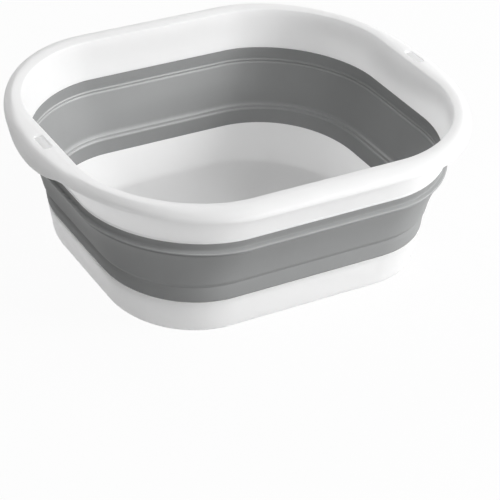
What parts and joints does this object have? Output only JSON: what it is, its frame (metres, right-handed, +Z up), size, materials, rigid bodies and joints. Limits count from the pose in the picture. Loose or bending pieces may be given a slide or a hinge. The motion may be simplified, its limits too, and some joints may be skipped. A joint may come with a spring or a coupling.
{
  "type": "collapsible wash basin",
  "caption": "Rounded rectangular wash basin whose soft wall folds down between a hard flanged rim and a hard base tray, with a hanging slot in each handle end.",
  "frame": {"origin": "middle of the underside, on the surface that the basin stands on", "axes": "+X along the long side towards one handle end, +Y across, +Z up out of the bowl"},
  "size_m": [0.4266, 0.3672, 0.1503],
  "materials": {
    "white_polypropylene": "satin moulded polypropylene",
    "grey_elastomer": "satin moulded thermoplastic elastomer"
  },
  "bodies": {
    "base": {"base_tray": "white_polypropylene", "lower_wall_band": "grey_elastomer"},
    "fold_wall": {"fold_panel": "grey_elastomer"},
    "rim": {"rim_frame": "white_polypropylene", "upper_wall_band": "grey_elastomer"}
  },
  "joints": [
    {"name": "rim_collapse", "type": "slide", "parent": "base", "child": "rim", "axis": [0, 0, -1], "range_m": [0, 0.092]},
    {"name": "wall_fold", "type": "slide", "parent": "base", "child": "fold_wall", "axis": [0, 0, -1], "range_m": [0, 0.046]}
  ],
  "couplings": [
    {"joint": "wall_fold", "follows": "rim_collapse", "ratio": 0.5}
  ]
}
